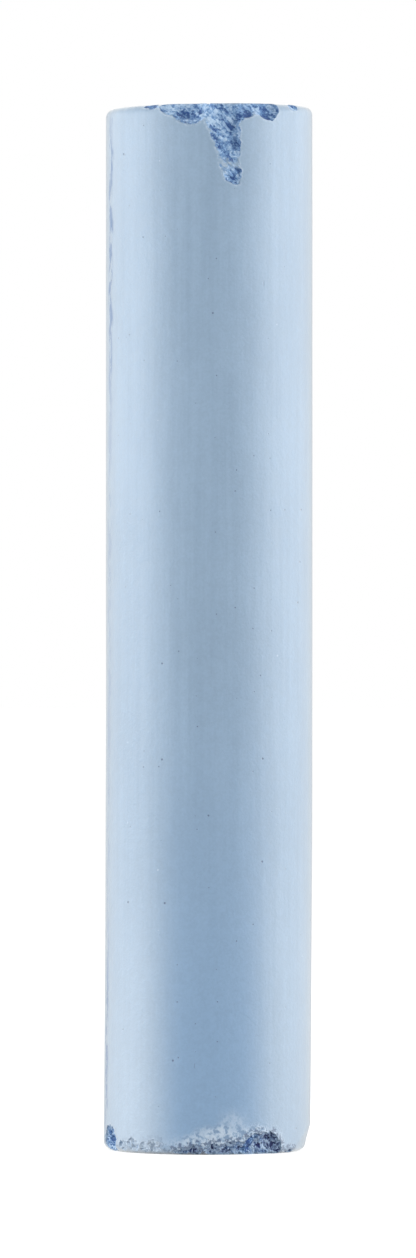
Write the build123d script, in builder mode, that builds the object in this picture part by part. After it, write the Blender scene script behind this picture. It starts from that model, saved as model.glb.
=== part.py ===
from build123d import *

import os
from math import cos, radians, sin, sqrt, tan

# A soft pastel stick: one round stick of dry pigment and chalk, standing on its foot.
#
# Millimetres, with +Z up the stick. The origin is on the surface it stands on, under the
# middle of the stick. Its face, where the rims are broken, is the -Y side, and bearings
# round it are in degrees from that face, positive towards +X.

# The stick as it was made
diameter = 12.8
length = 64.5  # foot to head, up the middle
head_rounding = 0.5  # of the head's rim
foot_rounding = 0.6  # of the foot's rim
head_slope = 0.7  # degrees out of square, higher on the +X side
bow = 0.15  # how far the foot crept towards -X as the stick dried
bow_height = 31.0  # the stick is straight above this

# The foot's corner on the +X side, rubbed down to a slanting flank
wear_inset = 0.4  # taken off the side, at the foot
wear_height = 1.6
wear_spread = 36.0  # degrees to each side of +X
wear_rounding = 0.6  # of the worn flank's own lower edge

# Rim chips, each with its bearing, its width along the rim, its reach along the stick and
# its depth into the end. They overlap, and what is left between two is a ridge.
head_chips = [
    (-34.0, 2.2, 0.30, 0.35),
    (-21.0, 2.2, 0.70, 0.55),
    (-11.0, 3.0, 1.30, 0.75),
    (10.0, 3.0, 1.45, 0.90),
    (23.0, 2.2, 0.90, 0.65),
    (34.0, 2.0, 1.05, 0.60),
    (55.0, 1.8, 0.40, 0.40),
]
foot_chips = [
    (-66.0, 1.9, 1.75, 0.45),
    (-46.0, 1.6, 0.60, 0.25),
    (-33.0, 1.7, 0.75, 0.25),
    (-19.0, 2.1, 0.70, 0.45),
    (-5.0, 2.1, 0.80, 0.50),
    (8.0, 2.0, 0.90, 0.45),
    (19.0, 1.9, 0.95, 0.40),
    (33.0, 2.5, 1.35, 0.60),
    (50.0, 1.6, 0.45, 0.30),
]

# The flake lost below the head's rim: a long wedge that runs down to a blunt tip. Its floor
# leaves the skin along the left edge, and is deepest against the upright right edge.
flake_left = 0.05  # x of its left edge, at the head
flake_right = 2.0  # x of its right edge
flake_length = 4.95
flake_tip_width = 0.45
flake_depth = 0.75  # at the right edge, level with the head
flake_margin = 0.4  # how far its cutting tool stands past the left edge

radius = diameter / 2
clear = 1.0  # how far a cutting tool stands out of the stick


def axis_x(height):
    """The x of the bowed axis at a height."""
    drop = max(bow_height - height, 0.0)
    return bow / 2 - bow * (drop / bow_height) ** 2


def head_z(x):
    """The height of the sloping head."""
    return length + tan(radians(head_slope)) * (x - axis_x(length))


def skin_point(x, height, depth=0.0):
    """A point on the face of the stick, or that deep behind it."""
    return Vector(x, depth - sqrt(radius**2 - (x - axis_x(height)) ** 2), height)


def chip_ball(bearing, width, reach, depth, at_head):
    """The ball that bites the rim as wide, as far along and as deep as the chip."""
    half = width / 2
    past_end = (half**2 - reach**2) / (2 * reach)
    outside = (half**2 - depth**2) / (2 * depth)
    out = radius + outside
    x = axis_x(length if at_head else 0) + out * sin(radians(bearing))
    z = head_z(x) + past_end if at_head else -past_end
    with BuildPart() as ball:
        with Locations((x, -out * cos(radians(bearing)), z)):
            Sphere(sqrt(half**2 + past_end**2 + outside**2))
    return ball.part


# The stick: a round section swept down its axis, with both ends cut flat and rounded
with BuildPart() as stick:
    with BuildLine(Plane.XZ) as axis:
        bend = (axis_x(bow_height), bow_height)
        Line((axis_x(length), length + clear), bend)
        TangentArc(bend, (axis_x(-clear), -clear), tangent=(0, -1))
    with BuildSketch(Plane(origin=axis.wire() @ 0, z_dir=axis.wire() % 0)):
        Circle(radius)
    sweep(path=axis.wire())
    split(bisect_by=Plane.XY, keep=Keep.TOP)
    head_face = Plane(origin=(axis_x(length), 0, length)).rotated((0, -head_slope, 0))
    split(bisect_by=head_face, keep=Keep.BOTTOM)
    fillet(stick.edges().group_by(Axis.Z)[-1], head_rounding)
    fillet(stick.edges().group_by(Axis.Z)[0], foot_rounding)

# The shape that the foot was rubbed down to on its +X side: a cone, set off the axis so
# that at the foot it is the wear's inset deep at +X and meets the skin where the wear ends
flank = radius - wear_inset
wear_end_x = radius * cos(radians(wear_spread))
wear_offset = (radius**2 - flank**2) / (2 * (flank - wear_end_x))
cone_radius = flank + wear_offset
cone_top = wear_height + clear
wear_reach = radius - wear_end_x + clear
with BuildPart() as worn_foot:
    with BuildSketch(Plane.XZ):
        with BuildLine():
            Polyline(
                (0, 0),
                (cone_radius, 0),
                (cone_radius + wear_inset * cone_top / wear_height, cone_top),
                (0, cone_top),
                close=True,
            )
        make_face()
    revolve(axis=Axis.Z)
    fillet(worn_foot.edges().group_by(Axis.Z)[0], wear_rounding)

with BuildPart() as foot_wear:
    with Locations((axis_x(0) + radius, 0, 0)):
        Box(2 * wear_reach, diameter, 2 * cone_top)
    with Locations((axis_x(0) - wear_offset, 0, 0)):
        add(worn_foot.part, mode=Mode.SUBTRACT)

# The flake: its outline on the face of the stick, cut back to its slanting floor
flake_tip = length - flake_length
tip_left = flake_right - flake_tip_width
left_edge_top = skin_point(flake_left, length)
left_edge_tip = skin_point(tip_left, flake_tip)
deepest = skin_point(flake_right, length, flake_depth)
with BuildPart() as flake:
    with BuildSketch(Plane.XZ.offset(radius + clear)):
        with BuildLine():
            Polyline(
                (flake_left - flake_margin, length + clear),
                (flake_left - flake_margin, length),
                (tip_left - flake_margin, flake_tip),
                (flake_right, flake_tip),
                (flake_right, length + clear),
                close=True,
            )
        make_face()
    extrude(amount=-radius - clear)
    outwards = (deepest - left_edge_top).cross(left_edge_top - left_edge_tip)
    split(bisect_by=Plane(origin=left_edge_tip, z_dir=outwards), keep=Keep.TOP)

# The stick as it is now, with its foot worn and its rims broken
with BuildPart() as pastel_stick:
    add(stick.part)
    add(foot_wear.part, mode=Mode.SUBTRACT)
    add(flake.part, mode=Mode.SUBTRACT)
    for chip in head_chips:
        add(chip_ball(*chip, at_head=True), mode=Mode.SUBTRACT)
    for chip in foot_chips:
        add(chip_ball(*chip, at_head=False), mode=Mode.SUBTRACT)
pastel_stick.part.label = "pastel_stick"

os.makedirs("parts", exist_ok=True)
export_step(pastel_stick.part, "parts/pastel_stick.step")
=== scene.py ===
from math import cos, hypot, pi, radians, sin, sqrt, tan

import bmesh
import bpy
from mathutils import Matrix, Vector, kdtree, noise


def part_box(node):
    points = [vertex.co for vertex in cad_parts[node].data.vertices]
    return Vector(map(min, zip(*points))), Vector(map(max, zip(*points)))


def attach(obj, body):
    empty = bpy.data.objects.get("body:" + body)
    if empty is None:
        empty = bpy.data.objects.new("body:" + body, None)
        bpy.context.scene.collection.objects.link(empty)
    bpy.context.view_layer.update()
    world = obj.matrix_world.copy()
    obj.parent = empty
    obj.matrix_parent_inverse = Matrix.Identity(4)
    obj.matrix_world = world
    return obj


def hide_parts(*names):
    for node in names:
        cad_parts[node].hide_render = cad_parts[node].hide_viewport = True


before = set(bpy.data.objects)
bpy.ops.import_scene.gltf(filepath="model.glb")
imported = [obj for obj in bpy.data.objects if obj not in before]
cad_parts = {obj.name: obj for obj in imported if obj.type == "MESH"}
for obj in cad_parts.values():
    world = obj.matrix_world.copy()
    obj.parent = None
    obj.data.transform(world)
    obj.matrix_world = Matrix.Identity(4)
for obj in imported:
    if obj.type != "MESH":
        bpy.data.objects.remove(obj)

bl_info = {
    "name": "Soft pastel stick",
    "version": (1, 0, 0),
    "blender": (4, 5, 0),
    "location": "3D View > Sidebar > Pastel",
    "description": "Models a round soft pastel stick with broken rims, its finish and its stage",
    "category": "Add Mesh",
}

# The stick is shaped in millimetres, up +Z, and brought down to metres when it is done. Its
# face, where its rims are broken, is its -Y side, and bearings round it are in degrees from
# that face, positive towards +X.
MM = 0.001
STICK = "pastel_stick"
CAD_LOW, CAD_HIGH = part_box(STICK)
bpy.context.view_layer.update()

HEAD_SLOPE = 0.7  # degrees out of square, higher on the +X side
HEAD_ROUNDING = 0.5
CAD_DIAMETER = (CAD_HIGH[1] - CAD_LOW[1]) / MM
CAD_LENGTH = CAD_HIGH[2] / MM - tan(radians(HEAD_SLOPE)) * (CAD_DIAMETER / 2 - HEAD_ROUNDING)

# Rim chips: bearing, width along the rim, reach along the stick, depth into the end
HEAD_CHIPS = (
    (-34.0, 2.2, 0.30, 0.35),
    (-21.0, 2.2, 0.70, 0.55),
    (-11.0, 3.0, 1.30, 0.75),
    (10.0, 3.0, 1.45, 0.75),
    (21.0, 2.3, 0.90, 0.65),
    (28.5, 1.8, 0.75, 0.60),
    (35.0, 1.5, 1.05, 0.55),
    (55.0, 1.8, 0.40, 0.40),
)
FOOT_CHIPS = (
    (-70.0, 1.6, 1.65, 0.36),
    (-63.0, 1.2, 0.45, 0.25),
    (-54.0, 1.2, 0.70, 0.18),
    (-45.5, 1.3, 0.85, 0.20),
    (-37.0, 1.2, 0.60, 0.18),
    (-30.0, 1.3, 0.80, 0.20),
    (-22.0, 1.1, 0.25, 0.28),
    (-15.0, 1.4, 0.42, 0.36),
    (-6.0, 1.6, 0.56, 0.42),
    (3.5, 1.6, 0.66, 0.42),
    (12.0, 1.6, 0.78, 0.42),
    (20.0, 1.6, 0.80, 0.42),
    (29.0, 2.0, 1.25, 0.55),
    (36.5, 2.0, 1.30, 0.55),
    (54.0, 1.0, 0.14, 0.14),
)

# The long flake lost below the head: at each drop below the head, where its left edge is
# and how deep its floor lies against its upright right edge. It all but comes back out to
# the skin three quarters of the way down, and ends in one last pit.
FLAKE = (
    (0.0, -0.45, 0.66),
    (1.0, -0.18, 0.58),
    (2.3, 0.33, 0.42),
    (3.2, 0.58, 0.30),
    (3.5, 0.66, 0.05),
    (3.9, 0.78, 0.04),
    (4.1, 0.80, 0.17),
    (4.7, 1.15, 0.22),
    (5.0, 1.70, 0.0),
)
FLAKE_RIGHT = 1.98  # where its upright right edge is

# The mesh's faces
SEGMENTS = 288  # round the stick
RIM_BANDS = 8  # across each rounded rim
SIDE_CUTS = 12  # the side is cut into this many rings, and each of them again
FOOT_RINGS, FOOT_ZONE = 24, 3.0  # how many of the rings lie near the foot, and how near
HEAD_RINGS, HEAD_ZONE = 46, 5.6
END_RINGS = (0.2,) * 6 + (0.7,) * 4  # widths of the rings of an end, from its rim inwards
TOOL_CELL = 0.055  # the smallest face of a broken surface
FLAKE_CELL = 0.06

# The stick's wear and how far it is from true
WEAR_SPREAD = 36.0  # degrees to each side of +X over which the foot is worn
WORN_RIM_ROUNDING = 0.3
SLOPE_ZONE = 8.0  # the head's slope dies out this far down
SWELL = 0.012  # height of the swells of the rolled side
RIM_DENT, RIM_DENT_REACH = 0.05, 1.2  # depth of the dents of a rim, and how far along they go
CLEAR = 0.3  # how far a tool stands off the skin where it cuts nothing
BREAK_REACH = 0.4  # how far a break's edge is felt in the finish
BREAK_ZONE = 7.0  # no break lies further from its end than this

# The rubbed line: its bearing at the foot, the degrees that it leans for each millimetre up,
# and how strong it is at shares of the stick's length
SCUFF_BEARING, SCUFF_LEAN = -78.5, 0.12
SCUFF_LEVELS = (
    (0.0, 0.3),
    (0.05, 0.9),
    (0.14, 1.0),
    (0.2, 0.5),
    (0.7, 0.5),
    (0.82, 1.0),
    (0.95, 0.9),
    (1.0, 0.3),
)

# Lamps, one of each to either side: its power's setting, width, height, bearing from the
# face and height above the floor
LAMP_DISTANCE = 0.3
LAMPS = (
    ("side_light", 0.2, 0.13, 82.0, 0.072),
    ("quarter_light", 0.14, 0.18, 55.0, 0.1),
    ("back_light", 0.16, 0.18, 118.0, 0.1),
)


def length_prop(name, description, millimetres):
    return bpy.props.FloatProperty(
        name=name,
        description=description,
        default=millimetres * MM,
        precision=5,
        min=0.0,
        unit="LENGTH",
        subtype="DISTANCE",
    )


def colour_prop(name, description, rgb):
    return bpy.props.FloatVectorProperty(
        name=name,
        description=description,
        default=tuple(linear(c / 255) for c in rgb),
        size=3,
        min=0.0,
        max=1.0,
        subtype="COLOR",
    )


def linear(value):
    """A display value between 0 and 1, as light."""
    return value / 12.92 if value <= 0.04045 else ((value + 0.055) / 1.055) ** 2.4


class PastelSizes(bpy.types.PropertyGroup):
    """The stick's form."""

    diameter: length_prop("Diameter", "Across the stick", CAD_DIAMETER)
    length: length_prop("Length", "Foot to head, up the middle", CAD_LENGTH)
    head_rounding: length_prop("Head rounding", "Radius of the head's rim", HEAD_ROUNDING)
    foot_rounding: length_prop("Foot rounding", "Radius of the foot's rim", 0.6)
    bow: length_prop("Bow", "How far the foot crept to one side as the stick dried", 0.15)
    bow_height: length_prop("Bow height", "The stick is straight above this", 31.0)
    head_slope: bpy.props.FloatProperty(
        name="Head slope",
        description="How far the head is out of square",
        default=radians(HEAD_SLOPE),
        subtype="ANGLE",
    )
    wear_inset: length_prop("Wear inset", "Rubbed off the foot's +X side", 0.4)
    wear_height: length_prop("Wear height", "How far up the worn flank goes", 1.6)
    crumb: length_prop("Crumb", "Size of the grains in a broken face", 0.2)
    relief: length_prop("Relief", "Height of the crags in a broken face", 0.1)


class PastelFinish(bpy.types.PropertyGroup):
    """The stick's colours."""

    skin: colour_prop("Skin", "The stick's pale outside", (137, 163, 188))
    skin_dim: colour_prop("Skin, dim", "Streaks and clouds of the outside", (129, 155, 180))
    # Painted shade: the skin as it looks darkened low on the face, not a colour of its own
    skin_painted_shade: colour_prop("Skin, foot", "The outside low on the face", (121, 154, 187))
    # Powder on edges, in dots and on crumbs, and also the painted sheen on the lower sides beside the
    # face
    dust_and_sheen: colour_prop("Dust", "Powder on edges and in dots", (190, 206, 222))
    pit: colour_prop("Pits", "Pin holes in the outside", (66, 88, 122))
    scuff: colour_prop("Scuff", "The rubbed line down the side", (50, 104, 158))
    # Painted shade, for the hollows of the crumbled skin and of the rubbed skin in a break
    crumb_shade: colour_prop("Crumb shade", "Hollows of the crumbled skin", (104, 134, 168))
    rubbed: colour_prop("Rubbed", "Skin that is only just broken", (146, 169, 192))
    broken: colour_prop("Break", "The stick's inside, where it is broken", (118, 156, 200))
    # The break's palest and deepest colours hold painted highlight and painted shade as well as
    # powder and the deep blue
    broken_powder_and_highlight: colour_prop("Break ridges", "Powdered ridges of a break", (184, 210, 236))
    broken_deep_and_shade: colour_prop("Break hollows", "Deepest hollows of a break", (52, 86, 142))
    # The foot's break colours are greyer and darker, from its hollows in painted shade to its ridges
    # in powder and painted highlight
    foot_tone: colour_prop("Foot's break", "The inside where the foot has taken up dirt", (136, 160, 196))
    foot_powder_and_highlight: colour_prop("Foot's ridges", "Ridges of the foot's break", (184, 206, 230))
    foot_deep_and_shade: colour_prop("Foot's hollows", "Hollows of the foot's break", (22, 36, 88))


class PastelStage(bpy.types.PropertyGroup):
    """Light, floor and camera."""

    side_light: bpy.props.FloatProperty(
        name="Side light", description="Power of each side lamp", default=0.5, unit="POWER"
    )
    quarter_light: bpy.props.FloatProperty(
        name="Quarter light", description="Power of each lamp in front", default=0.16, unit="POWER"
    )
    back_light: bpy.props.FloatProperty(
        name="Back light", description="Power of each lamp behind", default=0.18, unit="POWER"
    )
    room_light: bpy.props.FloatProperty(
        name="Room light", description="Strength of the white room round the stick", default=0.7
    )
    camera_distance: length_prop("Camera distance", "From the stick's axis", 545.0)
    view_height: length_prop("View height", "What the picture takes in at the stick", 78.0)


# --- form ------------------------------------------------------------------------------


def axis_x(sizes, height):
    """Where the bowed axis is at a height, in millimetres."""
    bow, bow_height = sizes.bow / MM, sizes.bow_height / MM
    drop = max(bow_height - height, 0.0)
    return bow / 2 - bow * (drop / bow_height) ** 2


def head_z(sizes, x):
    """The height of the sloping head at an x."""
    length = sizes.length / MM
    return length + tan(sizes.head_slope) * (x - axis_x(sizes, length))


def smooth_step(low, high, value):
    t = min(max((value - low) / (high - low), 0.0), 1.0)
    return t * t * (3 - 2 * t)


def only(obj):
    """Selects one object and nothing else."""
    if bpy.context.mode != "OBJECT":
        bpy.ops.object.mode_set(mode="OBJECT")
    bpy.ops.object.select_all(action="DESELECT")
    obj.select_set(True)
    bpy.context.view_layer.objects.active = obj


def select_edges(obj, wanted):
    """Goes into edit mode with the edges selected whose two ends pass the test."""
    only(obj)
    bpy.ops.object.mode_set(mode="EDIT")
    bpy.ops.mesh.select_mode(type="EDGE")
    bpy.ops.mesh.select_all(action="DESELECT")
    mesh = bmesh.from_edit_mesh(obj.data)
    for edge in mesh.edges:
        edge.select_set(wanted(*(v.co for v in edge.verts)))
    mesh.select_flush_mode()
    bmesh.update_edit_mesh(obj.data)


def round_rim(obj, height, rounding):
    """Bevels the rim at one end."""
    select_edges(obj, lambda a, b: abs(a.z - height) < 1e-3 and abs(b.z - height) < 1e-3)
    bpy.ops.mesh.bevel(offset=rounding, segments=RIM_BANDS, profile=0.5, affect="EDGES")
    bpy.ops.object.mode_set(mode="OBJECT")


def ring_the_end(obj, height, steps):
    """Insets an end face again and again, so that it has rings of faces."""
    only(obj)
    bpy.ops.object.mode_set(mode="EDIT")
    bpy.ops.mesh.select_mode(type="FACE")
    bpy.ops.mesh.select_all(action="DESELECT")
    mesh = bmesh.from_edit_mesh(obj.data)
    for face in mesh.faces:
        at_end = abs(face.calc_center_median().z - height) < 1e-3
        face.select_set(at_end and len(face.verts) == SEGMENTS)
    bmesh.update_edit_mesh(obj.data)
    for step in steps:
        bpy.ops.mesh.inset(thickness=step)
    bpy.ops.object.mode_set(mode="OBJECT")


def band_the_side(obj, foot, head):
    """Cuts the side into rings of faces, close together near the two broken ends."""
    for _ in range(2):
        select_edges(obj, lambda a, b: abs(a.z - b.z) > 0.4 and hypot(a.x - b.x, a.y - b.y) < 1e-3)
        bpy.ops.mesh.subdivide(number_cuts=SIDE_CUTS - 1)
        bpy.ops.object.mode_set(mode="OBJECT")
    foot_share, head_share = FOOT_RINGS / SIDE_CUTS**2, HEAD_RINGS / SIDE_CUTS**2
    span = head - foot
    for vertex in obj.data.vertices:
        share = (vertex.co.z - foot) / span
        if not 1e-6 < share < 1 - 1e-6:
            continue
        if share < foot_share:
            vertex.co.z = foot + FOOT_ZONE * share / foot_share
        elif share > 1 - head_share:
            vertex.co.z = head - HEAD_ZONE * (1 - share) / head_share
        else:
            middle = (share - foot_share) / (1 - foot_share - head_share)
            vertex.co.z = foot + FOOT_ZONE + (span - FOOT_ZONE - HEAD_ZONE) * middle


def rim_inset(height, rounding):
    """How far a rounded rim lies inside its side at a height above the end."""
    below = min(max(rounding - height, 0.0), rounding)
    return rounding - sqrt(rounding**2 - below**2)


def sharpen_worn_rim(co, sizes):
    """Makes the foot's rounded rim sharper towards its worn +X side."""
    radius, blunt = sizes.diameter / MM / 2, sizes.foot_rounding / MM
    out = hypot(co.x, co.y)
    if co.z < blunt and out > radius - blunt - 1e-3:
        sharp = smooth_step(0.35, 0.75, co.x / out)
        gain = rim_inset(co.z, blunt) - rim_inset(co.z, WORN_RIM_ROUNDING)
        co.x *= 1 + sharp * gain / out
        co.y *= 1 + sharp * gain / out


def wear_down(co, sizes):
    """Rubs the foot's +X side back, furthest at the bottom."""
    radius = sizes.diameter / MM / 2
    inset, wear_height = sizes.wear_inset / MM, sizes.wear_height / MM
    if co.z >= wear_height or co.x <= 0:
        return
    # The worn side is an arc of a wider circle, whose middle is behind the stick's axis
    flank, wear_end = radius - inset, radius * cos(radians(WEAR_SPREAD))
    behind = (radius**2 - flank**2) / (2 * (flank - wear_end))
    reach = flank + behind + inset * co.z / wear_height - rim_inset(co.z, WORN_RIM_ROUNDING)
    away = hypot(co.x + behind, co.y)
    if away > reach:
        co.x = (co.x + behind) * reach / away - behind
        co.y *= reach / away


def make_untrue(co, sizes):
    """Gives the rolled side its swells and the rims their dents."""
    radius, length = sizes.diameter / MM / 2, sizes.length / MM
    out = hypot(co.x, co.y) / radius
    if out <= 0.5:
        return
    along = max(1 - min(co.z, length - co.z) / RIM_DENT_REACH, 0.0)
    rim = along * smooth_step(0.8, 0.97, out)
    swell = SWELL * noise.noise(Vector((co.x * 0.3, co.y * 0.3, co.z * 0.12)))
    dent = RIM_DENT * rim * max(noise.fractal(Vector(co) * 0.9, 0.8, 2.0, 3), -0.2)
    grow = 1 + (swell - dent) / radius
    co.x *= grow
    co.y *= grow


def wear_and_bow(obj, sizes):
    """Wears the foot, takes the surface out of true, slopes the head and adds the bow."""
    length = sizes.length / MM
    for vertex in obj.data.vertices:
        co = vertex.co
        sharpen_worn_rim(co, sizes)
        wear_down(co, sizes)
        make_untrue(co, sizes)
        co.z += tan(sizes.head_slope) * co.x * max(1 - (length - co.z) / SLOPE_ZONE, 0.0)
        co.x += axis_x(sizes, co.z)


def make_whole_stick(sizes):
    """The stick before it was broken."""
    length = sizes.length / MM
    bpy.ops.object.select_all(action="DESELECT")
    bpy.ops.mesh.primitive_cylinder_add(
        vertices=SEGMENTS,
        radius=sizes.diameter / MM / 2,
        depth=length,
        end_fill_type="NGON",
        location=(0, 0, length / 2),
    )
    stick = bpy.context.object
    stick.name = "pastel stick body"
    bpy.ops.object.transform_apply(location=True, rotation=False, scale=False)
    foot, head = sizes.foot_rounding / MM, sizes.head_rounding / MM
    round_rim(stick, 0.0, foot)
    round_rim(stick, length, head)
    ring_the_end(stick, 0.0, END_RINGS)
    ring_the_end(stick, length, END_RINGS)
    band_the_side(stick, foot, length - head)
    wear_and_bow(stick, sizes)
    return stick


def add_chip_ball(sizes, bearing, width, reach, depth, at_head):
    """The ball that bites a rim as wide, as far along and as deep as the chip."""
    half = width / 2
    past_end = (half**2 - reach**2) / (2 * reach)
    outside = (half**2 - depth**2) / (2 * depth)
    out = sizes.diameter / MM / 2 + outside
    x = axis_x(sizes, sizes.length / MM if at_head else 0.0) + out * sin(radians(bearing))
    z = head_z(sizes, x) + past_end if at_head else -past_end
    bpy.ops.mesh.primitive_ico_sphere_add(
        subdivisions=4,
        radius=sqrt(half**2 + past_end**2 + outside**2),
        location=(x, -out * cos(radians(bearing)), z),
    )
    return bpy.context.object


def flake_depth(drop, x):
    """How deep the flake's floor lies under the skin; below 0 it is outside the stick."""
    for (drop_a, left_a, deep_a), (drop_b, left_b, deep_b) in zip(FLAKE, FLAKE[1:]):
        if drop_a <= drop <= drop_b:
            share = (drop - drop_a) / (drop_b - drop_a)
            left = left_a + (left_b - left_a) * share
            deep = deep_a + (deep_b - deep_a) * share
            across = (x - left) / (FLAKE_RIGHT - left)
            if across < 0:
                return 0.6 * (x - left)
            # The floor falls away to the right and lifts a little against the right edge
            return deep * across**0.8 * (1 - 0.55 * smooth_step(0.84, 1.0, across))
    return -CLEAR


def add_flake_tool(sizes):
    """A slab in front of the stick, whose back is the flake's floor."""
    left, right, tall, above, thick = -1.2, FLAKE_RIGHT, 5.4, 0.3, 1.2
    radius = sizes.diameter / MM / 2
    middle = axis_x(sizes, sizes.length / MM)
    columns, rows = round((right - left) / FLAKE_CELL), round(tall / FLAKE_CELL)
    bpy.ops.mesh.primitive_grid_add(x_subdivisions=columns, y_subdivisions=rows, size=1.0)
    tool = bpy.context.object
    for vertex in tool.data.vertices:
        x = left + (right - left) * (vertex.co.x + 0.5)
        drop = tall * (0.5 - vertex.co.y) - above
        deep = flake_depth(max(drop, 0.0), x)
        skin_y = -sqrt(radius**2 - (x - middle) ** 2)
        ragged = noise.fractal(Vector((drop * 1.3, 4.0, 0.0)), 0.6, 2.0, 4)
        x += 0.16 * ragged * smooth_step(1.2, right, x)
        vertex.co = (x, skin_y + max(deep, -CLEAR), head_z(sizes, x) - drop)
    bpy.ops.object.mode_set(mode="EDIT")
    bpy.ops.mesh.select_all(action="SELECT")
    bpy.ops.mesh.extrude_region_move(TRANSFORM_OT_translate={"value": (0, -thick, 0)})
    bpy.ops.mesh.select_all(action="SELECT")
    bpy.ops.mesh.normals_make_consistent(inside=False)
    bpy.ops.object.mode_set(mode="OBJECT")
    return tool


def even_skin(tool, cell):
    """Gives a tool one closed skin of small even faces."""
    only(tool)
    tool.data.remesh_voxel_size = cell
    bpy.ops.object.voxel_remesh()


def join_tools(pieces):
    """Makes one tool of several."""
    bpy.ops.object.select_all(action="DESELECT")
    for piece in pieces:
        piece.select_set(True)
    bpy.context.view_layer.objects.active = pieces[0]
    bpy.ops.object.join()
    bpy.ops.object.transform_apply(location=True, rotation=True, scale=True)
    return bpy.context.object


def skin_depth(sizes, co):
    """How far a point lies under the whole stick's skin."""
    radius = sizes.diameter / MM / 2
    side = radius - hypot(co.x - axis_x(sizes, co.z), co.y)
    return min(side, head_z(sizes, co.x) - co.z, co.z)


def roughen(tool, sizes, lay, crag, grain):
    """Gives a cutting tool the crags and grains that it leaves in the broken face.

    lay is the direction in which the crags are drawn out, or zero for none."""
    even_skin(tool, TOOL_CELL)
    relief, grain_size = sizes.relief / MM, sizes.crumb / MM
    normals = [Vector(v.normal) for v in tool.data.vertices]
    for vertex, normal in zip(tool.data.vertices, normals):
        co = Vector(vertex.co)
        depth = skin_depth(sizes, co)
        if depth < -0.35:
            continue
        drawn = co - lay * co.dot(lay) * 0.6
        crags = noise.fractal(drawn * 1.7, 0.7, 2.1, 4)
        ridges = noise.turbulence(drawn * 2.6, 3, True) - 0.6
        grains = noise.voronoi(drawn / grain_size)[0][0] - 0.45
        fine = noise.noise(co * 9.0)
        height = crag * (0.9 * crags - 0.7 * ridges) + grain * (0.9 * grains + 0.3 * fine)
        vertex.co = co + normal * relief * height * smooth_step(-0.3, 0.25, depth + 0.15)
    even_skin(tool, TOOL_CELL)


def cut(stick, tool, material):
    """Takes the tool's shape out of the stick; the cut faces get the material."""
    tool.data.materials.clear()
    tool.data.materials.append(material)
    only(stick)
    modifier = stick.modifiers.new("break", "BOOLEAN")
    modifier.operation = "DIFFERENCE"
    modifier.solver = "MANIFOLD"
    modifier.material_mode = "TRANSFER"
    modifier.object = tool
    bpy.ops.object.modifier_apply(modifier=modifier.name)
    bpy.data.objects.remove(tool, do_unlink=True)


def drop_loose_crumbs(stick):
    """Keeps the stick itself and drops the specks that a cut left floating."""
    mesh = bmesh.new()
    mesh.from_mesh(stick.data)
    left = set(mesh.verts)
    islands = []
    while left:
        island, edge_of_search = set(), [left.pop()]
        while edge_of_search:
            vertex = edge_of_search.pop()
            island.add(vertex)
            for edge in vertex.link_edges:
                other = edge.other_vert(vertex)
                if other in left:
                    left.discard(other)
                    edge_of_search.append(other)
        islands.append(island)
    islands.sort(key=len)
    for island in islands[:-1]:
        bmesh.ops.delete(mesh, geom=list(island), context="VERTS")
    mesh.to_mesh(stick.data)
    mesh.free()


def note_the_breaks(stick, sizes):
    """Records, at each point, what the finish needs to know of the breaks round it.

    under is how far a point lies under the old skin, hollow is high in a hollow and low on
    a ridge, and near is 1 at the edge of a break and falls to 0 a short way off."""
    mesh = bmesh.new()
    mesh.from_mesh(stick.data)
    under = mesh.verts.layers.float.new("under")
    hollow = mesh.verts.layers.float.new("hollow")
    near = mesh.verts.layers.float.new("near")
    mesh.normal_update()
    rim = []
    for vertex in mesh.verts:
        kinds = {face.material_index for face in vertex.link_faces}
        vertex[under] = max(skin_depth(sizes, vertex.co), 0.0)
        neighbours = [edge.other_vert(vertex).co for edge in vertex.link_edges]
        mean = sum(neighbours, Vector()) / len(neighbours)
        spread = sum((co - vertex.co).length for co in neighbours) / len(neighbours)
        vertex[hollow] = (mean - vertex.co).dot(vertex.normal) / max(spread, 1e-6)
        if len(kinds) > 1:
            rim.append(vertex.co)
    for _ in range(2):
        smoothed = {
            vertex: sum(edge.other_vert(vertex)[hollow] for edge in vertex.link_edges)
            / len(vertex.link_edges)
            for vertex in mesh.verts
        }
        for vertex, value in smoothed.items():
            vertex[hollow] = 0.5 * vertex[hollow] + 0.5 * value
    tree = kdtree.KDTree(len(rim))
    for index, co in enumerate(rim):
        tree.insert(co, index)
    tree.balance()
    for vertex in mesh.verts:
        if min(vertex.co.z, sizes.length / MM - vertex.co.z) < BREAK_ZONE:
            vertex[near] = max(1 - tree.find(vertex.co)[2] / BREAK_REACH, 0.0)
    mesh.to_mesh(stick.data)
    mesh.free()


# --- finish ----------------------------------------------------------------------------


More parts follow.
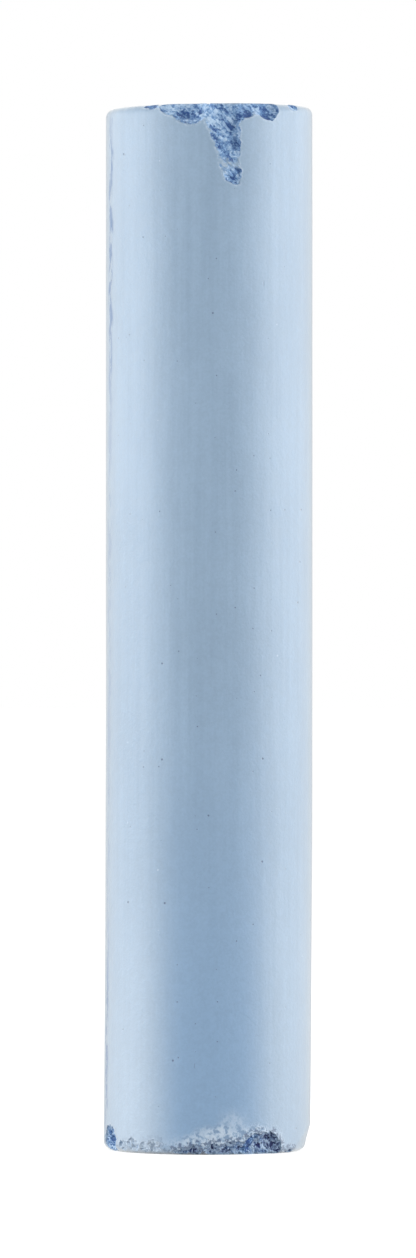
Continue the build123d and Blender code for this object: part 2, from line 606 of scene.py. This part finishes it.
class Nodes:
    """A short way to write a node tree."""

    def __init__(self, tree):
        self.tree = tree

    def add(self, kind, inputs=None, **settings):
        node = self.tree.nodes.new(kind)
        for key, value in settings.items():
            setattr(node, key, value)
        for key, value in (inputs or {}).items():
            self.plug(value, node.inputs[key])
        return node

    def plug(self, value, socket):
        if isinstance(value, bpy.types.NodeSocket):
            self.tree.links.new(value, socket)
        elif isinstance(value, bpy.types.Node):
            self.tree.links.new(value.outputs[0], socket)
        else:
            socket.default_value = value

    def math(self, operation, a, b=0.0, clamp=False):
        node = self.add("ShaderNodeMath", {0: a, 1: b}, operation=operation, use_clamp=clamp)
        return node.outputs[0]

    def plus(self, a, b, clamp=False):
        return self.math("ADD", a, b, clamp)

    def minus(self, a, b, clamp=False):
        return self.math("SUBTRACT", a, b, clamp)

    def times(self, a, b):
        return self.math("MULTIPLY", a, b)

    def most(self, a, b):
        return self.math("MAXIMUM", a, b)

    def off(self, a, b):
        """How far apart two values are."""
        return self.math("ABSOLUTE", self.minus(a, b))

    def total(self, first, *others):
        for other in others:
            first = self.plus(first, other)
        return first

    def span(self, value, low, high, to_low=0.0, to_high=1.0):
        """Maps low..high to to_low..to_high, smoothly and clamped."""
        node = self.add("ShaderNodeMapRange", interpolation_type="SMOOTHSTEP")
        for index, item in enumerate((value, low, high, to_low, to_high)):
            self.plug(item, node.inputs[index])
        return node.outputs[0]

    def mix(self, factor, a, b, blend="MIX"):
        node = self.add("ShaderNodeMix", data_type="RGBA", blend_type=blend)
        self.plug(factor, node.inputs["Factor"])
        self.plug(a, node.inputs[6])
        self.plug(b, node.inputs[7])
        return node.outputs[2]

    def noise(self, where, scale, detail=2.0, roughness=0.5, stretch=None):
        if stretch:
            where = self.add("ShaderNodeMapping", {"Vector": where, "Scale": stretch})
        return self.add(
            "ShaderNodeTexNoise",
            {"Vector": where, "Scale": scale, "Detail": detail, "Roughness": roughness},
        ).outputs["Fac"]


def rgba(colour):
    return (*colour, 1.0)


def powder_grain_group():
    """Dry powder: a fine tooth with larger soft clots in it, as a tone and a height."""
    group = bpy.data.node_groups.new("Powder grain", "ShaderNodeTree")
    make = group.interface.new_socket
    make("Position", in_out="INPUT", socket_type="NodeSocketVector")
    make("Tooth", in_out="INPUT", socket_type="NodeSocketFloat").default_value = 7.0
    make("Clots", in_out="INPUT", socket_type="NodeSocketFloat").default_value = 0.5
    make("Tone", in_out="OUTPUT", socket_type="NodeSocketFloat")
    make("Height", in_out="OUTPUT", socket_type="NodeSocketFloat")
    nodes = Nodes(group)
    given = nodes.add("NodeGroupInput")
    result = nodes.add("NodeGroupOutput")
    where, tooth, clots = given.outputs["Position"], given.outputs["Tooth"], given.outputs["Clots"]
    fine = nodes.noise(where, tooth, 3.0, 0.65)
    coarse = nodes.noise(where, nodes.times(tooth, 0.24), 3.0, 0.6)
    clot = nodes.times(nodes.span(coarse, 0.42, 0.72), clots)
    nodes.plug(nodes.plus(nodes.times(fine, 0.7), clot), result.inputs["Height"])
    tone = nodes.plus(nodes.times(fine, 0.6), nodes.times(coarse, 0.4))
    nodes.plug(tone, result.inputs["Tone"])
    return group


def new_material(name):
    """An empty material with its shader, and a position in millimetres to work from."""
    material = bpy.data.materials.new(name)
    material.use_nodes = True
    nodes = Nodes(material.node_tree)
    shader = material.node_tree.nodes["Principled BSDF"]
    place = nodes.add("ShaderNodeTexCoord").outputs["Object"]
    place = nodes.add("ShaderNodeMapping", {"Vector": place, "Scale": (1 / MM,) * 3}).outputs[0]
    return material, nodes, shader, place


def grain_at(nodes, group, place, tooth, clots):
    node = nodes.add("ShaderNodeGroup")
    node.node_tree = group
    nodes.plug(place, node.inputs["Position"])
    nodes.plug(tooth, node.inputs["Tooth"])
    nodes.plug(clots, node.inputs["Clots"])
    return node.outputs["Tone"], node.outputs["Height"]


def attribute(nodes, name):
    node = nodes.add("ShaderNodeAttribute", attribute_name=name, attribute_type="GEOMETRY")
    return node.outputs["Fac"]


def bearing_and_height(nodes, place):
    """Where a point of the side is: degrees from the face and millimetres up."""
    x, y, z = nodes.add("ShaderNodeSeparateXYZ", {0: place}).outputs
    turn = nodes.math("ARCTAN2", x, nodes.times(y, -1.0))
    return nodes.math("DEGREES", turn), z


def side_mask(nodes, place):
    """1 on the side and 0 on the two ends, changing over each rim."""
    x, y, _ = nodes.add("ShaderNodeSeparateXYZ", {0: place}).outputs
    out = nodes.math("SQRT", nodes.plus(nodes.times(x, x), nodes.times(y, y)))
    return nodes.span(out, CAD_DIAMETER / 2 - 0.7, CAD_DIAMETER / 2 - 0.3)


def scuff_mask(nodes, place, length):
    """The rubbed line down the -X side, strongest near the head and near the foot."""
    bearing, z = bearing_and_height(nodes, place)
    drift = nodes.noise(place, 0.5, 3.0, 0.6, (0.0, 0.0, 1.0))
    middle = nodes.plus(nodes.times(z, SCUFF_LEAN), SCUFF_BEARING)
    middle = nodes.plus(middle, nodes.span(drift, 0.3, 0.7, 1.6, -1.6))
    line = nodes.span(nodes.off(bearing, middle), 1.2, 4.8, 1.0, 0.0)
    patches = nodes.span(nodes.noise(place, 2.2, 4.0, 0.7, (1.0, 1.0, 0.4)), 0.44, 0.52)
    heights = nodes.add("ShaderNodeValToRGB", {"Fac": nodes.math("DIVIDE", z, length)})
    ramp = heights.color_ramp
    for at, level in SCUFF_LEVELS[1:-1]:
        ramp.elements.new(at)
    for element, (at, level) in zip(ramp.elements, SCUFF_LEVELS):
        element.position = at
        element.color = (level, level, level, 1.0)
    return nodes.times(nodes.times(line, patches), heights.outputs["Color"])


def pit_mask(nodes, place, spacing, radius, kept, shift, tall=1.0):
    """Marks scattered over the side, of all sizes up to the radius, and drawn out by tall.

    kept is the share of the places that has one, and shift turns the pattern."""
    bearing, z = bearing_and_height(nodes, place)
    round_the_side = nodes.times(nodes.plus(bearing, shift), CAD_DIAMETER * pi / 360)
    up = nodes.math("DIVIDE", z, tall)
    flat = nodes.add("ShaderNodeCombineXYZ", {0: round_the_side, 1: up})
    cells = nodes.add(
        "ShaderNodeTexVoronoi", {"Vector": flat, "Scale": 1 / spacing}, voronoi_dimensions="2D"
    )
    chosen = nodes.add("ShaderNodeSeparateColor", {0: cells.outputs["Color"]})
    size = nodes.span(chosen.outputs[1], 0.0, 1.0, 0.35 * radius / spacing, radius / spacing)
    inside = nodes.math("LESS_THAN", chosen.outputs[0], kept)
    away = nodes.math("DIVIDE", cells.outputs["Distance"], size)
    return nodes.times(nodes.span(away, 0.6, 1.1, 1.0, 0.0), inside)


def pits_and_scratches(nodes, place):
    """Pin holes of two sizes, and fainter short scratches."""
    large = pit_mask(nodes, place, 3.1, 0.08, 0.3, 0.0)
    small = pit_mask(nodes, place, 1.2, 0.05, 0.14, 7.0)
    scratches = pit_mask(nodes, place, 2.3, 0.06, 0.16, 51.0, 5.0)
    return nodes.most(nodes.most(large, small), nodes.times(scratches, 0.4))


def crumbled_mask(nodes, place):
    """Where the foot's skin has crumbled but not broken away, low on the face's +X half."""
    bearing, z = bearing_and_height(nodes, place)
    ragged = nodes.span(nodes.noise(place, 1.6, 4.0, 0.7), 0.3, 0.7, -0.3, 0.3)
    mound = nodes.span(nodes.off(bearing, 17.0), 6.0, 40.0, 0.75, -0.1)
    height = nodes.minus(nodes.plus(z, ragged), mound)
    across = nodes.span(bearing, -30.0, -10.0)
    across = nodes.times(across, nodes.span(bearing, 42.0, 50.0, 1.0, 0.0))
    low = nodes.span(height, 0.7, 1.4, 1.0, 0.0)
    few = nodes.span(nodes.off(bearing, 14.0), 3.0, 11.0, 0.55, 0.0)
    few = nodes.times(few, nodes.span(height, 1.2, 2.4, 1.0, 0.0))
    return nodes.most(nodes.times(across, low), few)


def spilt_mask(nodes, place, near):
    """Dark crumbs on the skin just above the foot's break, most of them on its +X half."""
    bearing, z = bearing_and_height(nodes, place)
    ragged = nodes.span(nodes.noise(place, 5.0, 3.0, 0.7), 0.35, 0.65, -0.75, 0.75)
    spilt = nodes.span(nodes.plus(near, ragged), 0.55, 0.75)
    spilt = nodes.times(spilt, nodes.span(z, 1.4, 2.4, 1.0, 0.0))
    spilt = nodes.times(spilt, nodes.span(near, 0.05, 0.3))
    return nodes.times(spilt, nodes.span(bearing, -30.0, -20.0, 0.15, 0.8))


def skin_ground(nodes, place, finish, streaks, tone, side):
    """The outside's own colour: streaks and clouds, with painted shade low on the face and a painted
    sheen on the lower sides beside it.
    """
    bearing, z = bearing_and_height(nodes, place)
    clouds = nodes.noise(place, 0.22, 3.0, 0.55, (1.0, 1.0, 0.5))
    vary = nodes.plus(nodes.times(streaks, 0.5), nodes.times(clouds, 0.5))
    colour = nodes.mix(nodes.span(vary, 0.37, 0.63), rgba(finish.skin), rgba(finish.skin_dim))
    # Painted shade round the middle of the face, darker towards the foot
    painted_shade = nodes.span(nodes.off(bearing, 3.0), 16.0, 40.0, 1.0, 0.0)
    painted_shade = nodes.times(painted_shade, nodes.span(z, 2.0, 34.0, 1.0, 0.0))
    colour = nodes.mix(nodes.times(painted_shade, side), colour, rgba(finish.skin_painted_shade))
    # Painted sheen: the sides beside the face made lighter, most at the foot and fading out 24 mm up
    left = nodes.span(bearing, -80.0, -50.0)
    left = nodes.times(left, nodes.span(bearing, -50.0, -12.0, 1.0, 0.0))
    right = nodes.times(nodes.span(bearing, 15.0, 48.0), 0.5)
    painted_sheen = nodes.plus(left, right, clamp=True)
    painted_sheen = nodes.times(painted_sheen, nodes.span(z, 0.0, 24.0, 0.38, 0.0))
    colour = nodes.mix(nodes.times(painted_sheen, side), colour, rgba(finish.dust_and_sheen))
    mottle = nodes.span(tone, 0.3, 0.7, 0.94, 1.06)
    mottle = nodes.add("ShaderNodeCombineColor", {0: mottle, 1: mottle, 2: mottle})
    return nodes.mix(1.0, colour, mottle.outputs[0], "MULTIPLY")


def skin_material(finish, grain_group, length):
    """The pale powdery outside."""
    material, nodes, shader, place = new_material("pastel skin")
    tone, height = grain_at(nodes, grain_group, place, 6.5, 0.4)
    side = side_mask(nodes, place)
    near = attribute(nodes, "near")
    streaks = nodes.noise(place, 1.9, 4.0, 0.65, (1.0, 1.0, 0.03))
    crumbs = nodes.noise(place, 3.2, 4.0, 0.62)
    scuff = nodes.times(scuff_mask(nodes, place, length), side)
    pits = nodes.times(pits_and_scratches(nodes, place), side)
    pale_dots = nodes.times(pit_mask(nodes, place, 2.6, 0.08, 0.06, 29.0), side)
    crumbled = nodes.times(crumbled_mask(nodes, place), side)
    # The crumbled skin's relief is painted in: powder and painted highlight where the crumbs rise,
    # painted shade between them
    crumb_powder_and_highlight = nodes.times(crumbled, nodes.span(crumbs, 0.4, 0.62, 0.25, 0.9))
    crumb_painted_shade = nodes.times(crumbled, nodes.span(crumbs, 0.38, 0.5, 0.7, 0.0))
    powder = nodes.times(nodes.span(near, 0.6, 1.0), nodes.span(tone, 0.4, 0.62, 0.0, 0.5))

    colour = skin_ground(nodes, place, finish, streaks, tone, side)
    colour = nodes.mix(scuff, colour, rgba(finish.scuff))
    colour = nodes.mix(nodes.times(pits, 0.85), colour, rgba(finish.pit))
    colour = nodes.mix(nodes.times(pale_dots, 0.45), colour, rgba(finish.dust_and_sheen))
    colour = nodes.mix(crumb_powder_and_highlight, colour, rgba(finish.dust_and_sheen))
    colour = nodes.mix(crumb_painted_shade, colour, rgba(finish.crumb_shade))
    colour = nodes.mix(powder, colour, rgba(finish.dust_and_sheen))
    colour = nodes.mix(spilt_mask(nodes, place, near), colour, rgba(finish.pit))

    bumps = nodes.plus(height, nodes.times(streaks, 0.5))
    bumps = nodes.plus(bumps, nodes.times(nodes.times(crumbled, crumbs), 5.0))
    bumps = nodes.minus(bumps, nodes.times(pits, 1.6))
    bumps = nodes.minus(bumps, nodes.times(scuff, 0.8))
    bump = nodes.add("ShaderNodeBump", {"Strength": 0.5, "Distance": 0.03 * MM, "Height": bumps})
    rough = nodes.span(tone, 0.3, 0.7, 0.42, 0.52)
    rough = nodes.most(rough, nodes.times(crumbled, 0.8))
    rough = nodes.most(rough, nodes.times(scuff, 0.95))
    nodes.plug(colour, shader.inputs["Base Color"])
    nodes.plug(rough, shader.inputs["Roughness"])
    nodes.plug(bump, shader.inputs["Normal"])
    shader.inputs["Specular IOR Level"].default_value = 0.7
    shader.inputs["Sheen Weight"].default_value = 1.0
    shader.inputs["Sheen Roughness"].default_value = 0.5
    shader.inputs["Sheen Tint"].default_value = (1.0, 0.99, 0.94, 1.0)
    return material


def shard_tone(nodes, place, density):
    """A tone from -1 to 1 for each of many small cells."""
    cells = nodes.add("ShaderNodeTexVoronoi", {"Vector": place, "Scale": density})
    own = nodes.add("ShaderNodeSeparateColor", {0: cells.outputs["Color"]}).outputs[0]
    return nodes.minus(nodes.times(own, 2.0), 1.0)


def shards_and_crumbs(nodes, place, drawn):
    """Larger shards that lie as the break was drawn, and small crumbs, all with bent edges; their
    tones paint the facets' light and shade and also give their bumps.
    """
    bend = nodes.add("ShaderNodeTexNoise", {"Vector": place, "Scale": 3.0, "Detail": 2.0})
    bend = nodes.add(
        "ShaderNodeVectorMath", {0: bend.outputs["Color"], 1: (0.5, 0.5, 0.5)}, operation="SUBTRACT"
    )
    bend = nodes.add("ShaderNodeVectorMath", {0: bend, "Scale": 0.5}, operation="SCALE")
    shards = shard_tone(nodes, nodes.add("ShaderNodeVectorMath", {0: drawn, 1: bend}), 3.4)
    crumbs = shard_tone(nodes, nodes.add("ShaderNodeVectorMath", {0: place, 1: bend}), 6.0)
    return shards, crumbs


def break_zones(nodes, bearing, z, patches):
    """Which breaks are the foot's, their one clean facet, where they take the foot's greyer, darker
    colours, and their shallow dents.
    """
    foot = nodes.span(z, 3.0, 6.0, 1.0, 0.0)
    slant = nodes.minus(bearing, nodes.times(z, 6.0))
    facet = nodes.times(nodes.span(nodes.off(slant, 20.0), 2.0, 4.0, 1.0, 0.0), foot)
    foot_tone = nodes.times(foot, nodes.span(bearing, -58.0, -40.0))
    foot_tone = nodes.times(foot_tone, nodes.span(patches, 0.36, 0.5, 0.4, 1.0))
    foot_tone = nodes.times(foot_tone, nodes.span(facet, 0.0, 1.0, 1.0, 0.0))
    dents = nodes.times(foot, nodes.span(bearing, -60.0, -56.0))
    dents = nodes.times(dents, nodes.span(bearing, -28.0, -24.0, 1.0, 0.0))
    return foot, facet, foot_tone, dents


def break_colour(nodes, level, deep, middle, pale):
    """A break's colour, from its deepest hollows in painted shade to its palest ridges in powder and
    painted highlight.
    """
    ramp = nodes.add("ShaderNodeValToRGB", {"Fac": level})
    elements = ramp.color_ramp.elements
    elements[0].position, elements[0].color = 0.04, rgba(deep)
    elements[1].position, elements[1].color = 0.95, rgba(pale)
    elements.new(0.45).color = rgba(middle)
    return ramp.outputs["Color"]


def broken_material(finish, grain_group):
    """The stronger blue inside, with painted shade in its hollows, and powder and painted highlights
    on its ridges.
    """
    material, nodes, shader, place = new_material("pastel break")
    tone, height = grain_at(nodes, grain_group, place, 5.0, 0.9)
    under, hollow = attribute(nodes, "under"), attribute(nodes, "hollow")
    bearing, z = bearing_and_height(nodes, place)
    patches = nodes.noise(place, 1.5, 3.0, 0.6)
    foot, facet, foot_tone, dents = break_zones(nodes, bearing, z, patches)
    drawn = nodes.add(
        "ShaderNodeMapping",
        {"Vector": place, "Rotation": (0.0, radians(32), 0.0), "Scale": (2.4, 1.0, 1.0)},
        vector_type="TEXTURE",
    )
    shards, crumbs = shards_and_crumbs(nodes, place, drawn)
    clumps = nodes.span(nodes.noise(place, 2.4, 2.0, 0.6), 0.36, 0.64, -0.26, 0.26)
    # The level runs from 0, the deepest blue with painted shade, to 1, the palest powdered ridges
    # with painted highlight; its noises and cell tones paint the light and shade of small facets
    level = nodes.total(
        nodes.span(tone, 0.34, 0.66, -0.12, 0.12),
        nodes.span(patches, 0.32, 0.68, -0.2, 0.2),
        nodes.span(nodes.noise(drawn, 2.2, 4.0, 0.7), 0.36, 0.64, -0.14, 0.14),
        nodes.span(nodes.noise(place, 9.0, 2.0, 0.7), 0.3, 0.7, -0.16, 0.16),
        nodes.times(shards, 0.3),
        nodes.times(crumbs, nodes.span(foot, 0.0, 1.0, 0.16, 0.42)),
        # Painted shade in the hollows and painted highlight on the ridges
        nodes.span(hollow, -0.35, 0.35, 0.24, -0.24),
        nodes.span(under, 0.0, 0.6, 0.57, 0.54),
        nodes.times(clumps, foot),
    )
    # Some patches of the head's edge are darker, and so is the foot's clean facet
    dark = nodes.span(nodes.noise(drawn, 1.7, 2.0, 0.6), 0.56, 0.66)
    dark = nodes.times(dark, nodes.span(z, CAD_LENGTH - 2.1, CAD_LENGTH - 0.9))
    level = nodes.minus(level, nodes.times(dark, 0.4))
    level = nodes.minus(level, nodes.times(facet, 0.3), clamp=True)
    clean = break_colour(nodes, level, finish.broken_deep_and_shade, finish.broken, finish.broken_powder_and_highlight)
    # The foot's break in its greyer, darker colours, with the same painted shade and highlight
    foot_toned = break_colour(nodes, level, finish.foot_deep_and_shade, finish.foot_tone, finish.foot_powder_and_highlight)
    colour = nodes.mix(foot_tone, clean, foot_toned)
    # Where little is gone, the old skin's colour still shows
    rubbed = nodes.plus(under, nodes.span(tone, 0.35, 0.65, -0.05, 0.05))
    rubbed = nodes.minus(rubbed, nodes.times(foot, 0.06))
    rubbed = nodes.minus(rubbed, nodes.times(dents, 0.2))
    skin = nodes.mix(dents, rgba(finish.rubbed), rgba(finish.dust_and_sheen))
    # Painted shade in the hollows of the rubbed skin and its dents
    skin = nodes.mix(nodes.span(hollow, 0.0, 0.3, 0.0, 0.8), skin, rgba(finish.crumb_shade))
    colour = nodes.mix(nodes.span(rubbed, 0.0, 0.08, 0.9, 0.0), colour, skin)

    height = nodes.plus(height, nodes.times(nodes.plus(shards, crumbs), 0.5))
    bump = nodes.add("ShaderNodeBump", {"Strength": 0.8, "Distance": 0.06 * MM, "Height": height})
    nodes.plug(colour, shader.inputs["Base Color"])
    nodes.plug(nodes.span(tone, 0.3, 0.7, 0.82, 0.95), shader.inputs["Roughness"])
    nodes.plug(bump, shader.inputs["Normal"])
    shader.inputs["Specular IOR Level"].default_value = 0.25
    shader.inputs["Sheen Weight"].default_value = 0.15
    shader.inputs["Sheen Roughness"].default_value = 0.6
    return material


# --- operators -------------------------------------------------------------------------


class PASTEL_OT_make_stick(bpy.types.Operator):
    """Models the stick, breaks its rims and gives it its finish"""

    bl_idname = "pastel.make_stick"
    bl_label = "Make the pastel stick"
    bl_options = {"REGISTER", "UNDO"}

    def execute(self, context):
        sizes, finish = context.scene.pastel_sizes, context.scene.pastel_finish
        grain_group = powder_grain_group()
        skin = skin_material(finish, grain_group, sizes.length / MM)
        broken = broken_material(finish, grain_group)

        stick = make_whole_stick(sizes)
        stick.data.materials.append(skin)
        head_tools = [add_flake_tool(sizes)]
        head_tools += [add_chip_ball(sizes, *chip, at_head=True) for chip in HEAD_CHIPS]
        head_tool = join_tools(head_tools)
        roughen(head_tool, sizes, Vector((0.85, 0.0, -0.53)), crag=1.0, grain=0.8)
        cut(stick, head_tool, broken)
        foot_tool = join_tools([add_chip_ball(sizes, *chip, at_head=False) for chip in FOOT_CHIPS])
        roughen(foot_tool, sizes, Vector(), crag=1.5, grain=1.6)
        cut(stick, foot_tool, broken)
        drop_loose_crumbs(stick)
        note_the_breaks(stick, sizes)

        only(stick)
        bpy.ops.object.shade_smooth_by_angle(angle=radians(40))
        bpy.ops.transform.resize(value=(MM, MM, MM), center_override=(0, 0, 0))
        bpy.ops.object.transform_apply(location=True, rotation=True, scale=True)
        if not stick.data.polygons or len(stick.data.materials) != 2:
            raise RuntimeError("the stick lost its faces or its broken faces")
        stick.name = "stick"
        stick.data.name = "stick"
        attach(stick, "root")
        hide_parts(STICK)
        return {"FINISHED"}


def camera_sees_white(nodes):
    """1 for rays that show the background itself: to the camera, in gloss and through glass."""
    rays = nodes.add("ShaderNodeLightPath").outputs
    seen = nodes.plus(rays["Is Camera Ray"], rays["Is Glossy Ray"])
    return nodes.plus(seen, rays["Is Transmission Ray"], clamp=True)


def floor_material():
    """White paper that shows white to the camera, with what shadow falls on it."""
    material = bpy.data.materials.new("stage paper")
    material.use_nodes = True
    nodes = Nodes(material.node_tree)
    material.node_tree.nodes.clear()
    seen = camera_sees_white(nodes)
    paper = nodes.add("ShaderNodeBsdfDiffuse", {"Color": (0.5, 0.5, 0.5, 1.0)})
    glow = nodes.add("ShaderNodeEmission", {"Strength": nodes.times(seen, 0.68)})
    both = nodes.add("ShaderNodeAddShader", {0: paper, 1: glow})
    nodes.add("ShaderNodeOutputMaterial", {"Surface": both})
    return material


def add_lamp(name, power, width, height, bearing, up, aim):
    """A soft rectangular lamp at a bearing and a height, which faces a point."""
    turn = radians(bearing)
    place = Vector((LAMP_DISTANCE * sin(turn), -LAMP_DISTANCE * cos(turn), up))
    data = bpy.data.lights.new(name, "AREA")
    data.shape = "RECTANGLE"
    data.size = width
    data.size_y = height
    data.energy = power
    lamp = bpy.data.objects.new(name, data)
    lamp.location = place
    lamp.rotation_euler = (aim - place).to_track_quat("-Z", "Y").to_euler()
    bpy.context.collection.objects.link(lamp)


class PASTEL_OT_make_stage(bpy.types.Operator):
    """Sets the floor, the light and the camera"""

    bl_idname = "pastel.make_stage"
    bl_label = "Make the stage"
    bl_options = {"REGISTER", "UNDO"}

    def execute(self, context):
        scene = context.scene
        stage, sizes = scene.pastel_stage, scene.pastel_sizes
        middle = Vector((0.0, 0.0, sizes.length / 2))

        bpy.ops.object.select_all(action="DESELECT")
        bpy.ops.mesh.primitive_plane_add(size=6.0)
        floor = context.object
        floor.name = "floor"
        floor.data.materials.append(floor_material())

        world = bpy.data.worlds.new("white room")
        scene.world = world
        world.use_nodes = True
        nodes = Nodes(world.node_tree)
        background = world.node_tree.nodes["Background"]
        seen = camera_sees_white(nodes)
        strength = nodes.add("ShaderNodeMix", data_type="FLOAT")
        nodes.plug(seen, strength.inputs[0])
        nodes.plug(stage.room_light, strength.inputs[2])
        nodes.plug(1.0, strength.inputs[3])
        background.inputs["Color"].default_value = (1.0, 1.0, 1.0, 1.0)
        nodes.plug(strength.outputs[0], background.inputs["Strength"])

        for setting, width, height, bearing, up in LAMPS:
            for side, name in ((-1, "left"), (1, "right")):
                name = setting.replace("_", " ") + " " + name
                power = getattr(stage, setting)
                add_lamp(name, power, width, height, side * bearing, up, middle)

        data = bpy.data.cameras.new("camera")
        data.lens = data.sensor_width * stage.camera_distance / stage.view_height
        camera = bpy.data.objects.new("camera", data)
        camera.location = middle - Vector((0.0, stage.camera_distance, 0.0))
        camera.rotation_euler = (radians(90), 0.0, 0.0)
        scene.collection.objects.link(camera)
        scene.camera = camera
        scene.view_settings.view_transform = "Standard"
        return {"FINISHED"}


class PASTEL_PT_panel(bpy.types.Panel):
    """Lists the stick's settings and steps"""

    bl_idname = "PASTEL_PT_panel"
    bl_label = "Soft pastel stick"
    bl_space_type = "VIEW_3D"
    bl_region_type = "UI"
    bl_category = "Pastel"

    def draw(self, context):
        for title, group in (
            ("Form", context.scene.pastel_sizes),
            ("Finish", context.scene.pastel_finish),
            ("Stage", context.scene.pastel_stage),
        ):
            box = self.layout.box()
            box.label(text=title)
            for name in group.__annotations__:
                box.prop(group, name)
        for operator in OPERATORS:
            self.layout.operator(operator.bl_idname)


OPERATORS = (PASTEL_OT_make_stick, PASTEL_OT_make_stage)
GROUPS = {"pastel_sizes": PastelSizes, "pastel_finish": PastelFinish, "pastel_stage": PastelStage}


def register():
    for cls in (*GROUPS.values(), *OPERATORS, PASTEL_PT_panel):
        bpy.utils.register_class(cls)
    for name, group in GROUPS.items():
        setattr(bpy.types.Scene, name, bpy.props.PointerProperty(type=group))


def unregister():
    for name in GROUPS:
        delattr(bpy.types.Scene, name)
    for cls in reversed((*GROUPS.values(), *OPERATORS, PASTEL_PT_panel)):
        bpy.utils.unregister_class(cls)


def main():
    register()
    bpy.ops.pastel.make_stick()
    bpy.ops.pastel.make_stage()


if __name__ == "__main__":
    main()
